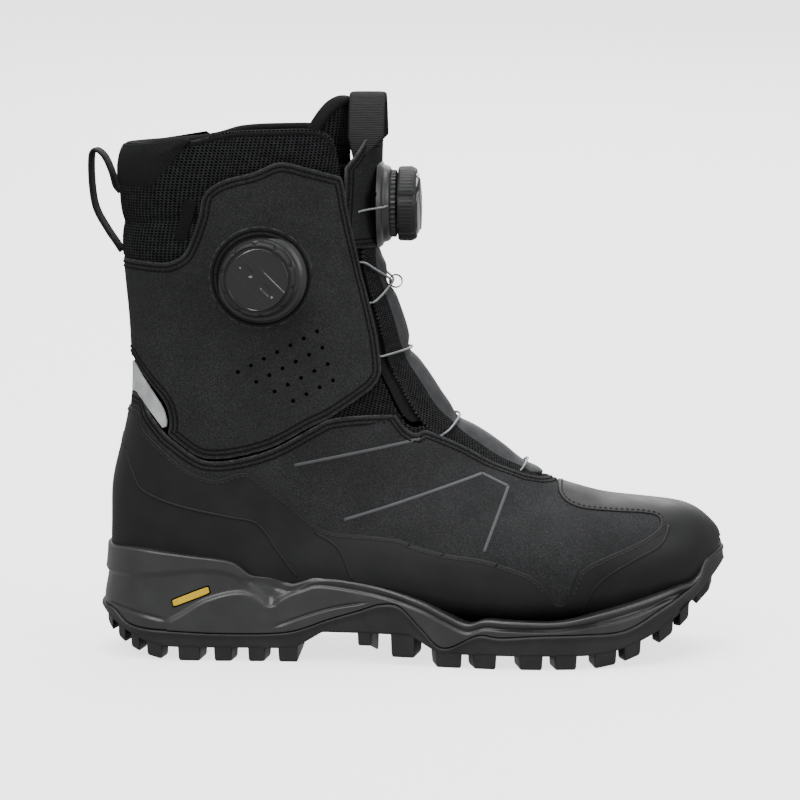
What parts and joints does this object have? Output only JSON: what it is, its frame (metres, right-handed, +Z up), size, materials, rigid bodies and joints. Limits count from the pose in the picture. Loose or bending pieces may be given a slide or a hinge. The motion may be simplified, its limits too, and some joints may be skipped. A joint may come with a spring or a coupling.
{
  "type": "hiking boot",
  "caption": "Mid-height right hiking boot with lugged sole, padded collar, two turning dials that tighten a thin steel lace, tongue and pull loops.",
  "frame": {"origin": "middle of the boot's bounding box at ground level, under the lowest lugs", "axes": "+X towards the toe, +Y towards the medial (inner) side, +Z up"},
  "size_m": [0.318, 0.1148, 0.2796],
  "materials": {
    "outsole_rubber": "matt moulded",
    "midsole_foam": "satin moulded",
    "shank_steel": "plain",
    "board_fibre": "pressed fibre",
    "footbed_fabric": "brushed",
    "nubuck": "matt nubuck",
    "rand_rubber": "smooth matt",
    "reflective_film": "reflective",
    "stiffener": "plain",
    "mesh_fabric": "open knit",
    "padding": "foam and fabric",
    "smooth_leather": "smooth matt",
    "lining_fabric": "soft knit",
    "webbing": "ribbed",
    "guide_plastic": "satin",
    "lace_steel": "stranded wire",
    "dial_plastic": "satin",
    "dial_rubber": "matt grip",
    "dial_gloss": "gloss"
  },
  "bodies": {
    "boot": {"collar_back_pad": "smooth_leather", "collar_binding": "smooth_leather", "collar_foam": "padding", "collar_mesh": "mesh_fabric", "cuff_lace_guides": "guide_plastic", "cuff_lateral": "nubuck", "cuff_medial": "nubuck", "flex_mesh_lateral": "mesh_fabric", "flex_mesh_medial": "mesh_fabric", "footbed": "footbed_fabric", "heel_counter": "stiffener", "heel_loop_tabs": "webbing", "heel_reflector": "reflective_film", "insole_board": "board_fibre", "lining": "lining_fabric", "lower_lace": "lace_steel", "midsole": "midsole_foam", "outsole": "outsole_rubber", "rand": "rand_rubber", "shank": "shank_steel", "side_dial_housing": "dial_plastic", "side_dial_patch": "nubuck", "side_dial_post": "lace_steel", "side_label": "webbing", "toe_puff": "stiffener", "tongue_gusset": "mesh_fabric", "tongue_lower_face": "mesh_fabric", "tongue_lower_foam": "padding", "tongue_lower_strip": "smooth_leather", "upper_lace": "lace_steel", "vamp_lace_guides": "guide_plastic", "vamp_lateral": "nubuck", "vamp_medial": "nubuck"},
    "tongue": {"tongue_foam": "padding", "tongue_face": "mesh_fabric", "tongue_strip": "smooth_leather", "tongue_lining": "lining_fabric", "tongue_dial_panel": "nubuck", "tongue_top_pad": "padding", "tongue_lace_ring": "webbing", "tongue_loop_tabs": "webbing", "front_dial_housing": "dial_plastic", "front_dial_post": "lace_steel"},
    "tongue_loop": {"tongue_pull_loop": "webbing"},
    "heel_loop": {"heel_pull_loop": "webbing"},
    "front_slider": {"front_dial_bush": "guide_plastic"},
    "front_knob": {"front_dial_knob": "dial_plastic", "front_dial_grip": "dial_rubber", "front_dial_cap": "dial_gloss"},
    "front_spool": {"front_dial_spool": "guide_plastic"},
    "side_slider": {"side_dial_bush": "guide_plastic"},
    "side_knob": {"side_dial_knob": "dial_plastic", "side_dial_grip": "dial_rubber", "side_dial_cap": "dial_gloss"},
    "side_spool": {"side_dial_spool": "guide_plastic"}
  },
  "joints": [
    {"name": "tongue_flex", "type": "hinge", "parent": "boot", "child": "tongue", "pos_m": [-0.00305, 0.00421, 0.16], "axis": [0, 1, 0], "range_deg": [0, 25], "stiffness_Nm_per_rad": 1.5, "springref_deg": -1.72, "deforming": ["upper_lace", "tongue_gusset"]},
    {"name": "front_knob_pull", "type": "slide", "parent": "tongue", "child": "front_slider", "axis": [1, 0, 0], "range_m": [-0.0026, 0]},
    {"name": "front_knob_turn", "type": "hinge", "parent": "front_slider", "child": "front_knob", "pos_m": [-0.01285, 0.00421, 0.2239], "axis": [1, 0, 0], "continuous": true},
    {"name": "front_spool_turn", "type": "hinge", "parent": "tongue", "child": "front_spool", "pos_m": [-0.01285, 0.00421, 0.2239], "axis": [1, 0, 0], "continuous": true},
    {"name": "tongue_loop_fold", "type": "hinge", "parent": "tongue", "child": "tongue_loop", "pos_m": [-0.01665, 0.00421, 0.2586], "axis": [0, 1, 0], "range_deg": [0, 60], "stiffness_Nm_per_rad": 0.02, "deforming": ["tongue_loop_tabs"]},
    {"name": "side_knob_pull", "type": "slide", "parent": "boot", "child": "side_slider", "axis": [0, -1, 0], "range_m": [0, 0.0026]},
    {"name": "side_knob_turn", "type": "hinge", "parent": "side_slider", "child": "side_knob", "pos_m": [-0.06955, -0.03979, 0.1903], "axis": [0, -1, 0], "continuous": true},
    {"name": "side_spool_turn", "type": "hinge", "parent": "boot", "child": "side_spool", "pos_m": [-0.06955, -0.03979, 0.1903], "axis": [0, -1, 0], "continuous": true},
    {"name": "heel_loop_swing", "type": "hinge", "parent": "boot", "child": "heel_loop", "pos_m": [-0.14405, 0.00421, 0.215], "axis": [0, 0, 1], "range_deg": [-20, 20], "stiffness_Nm_per_rad": 0.02, "deforming": ["heel_loop_tabs"]}
  ],
  "couplings": [
    {"joint": "front_spool_turn", "follows": "front_knob_turn", "ratio": 1},
    {"joint": "side_spool_turn", "follows": "side_knob_turn", "ratio": 1}
  ]
}
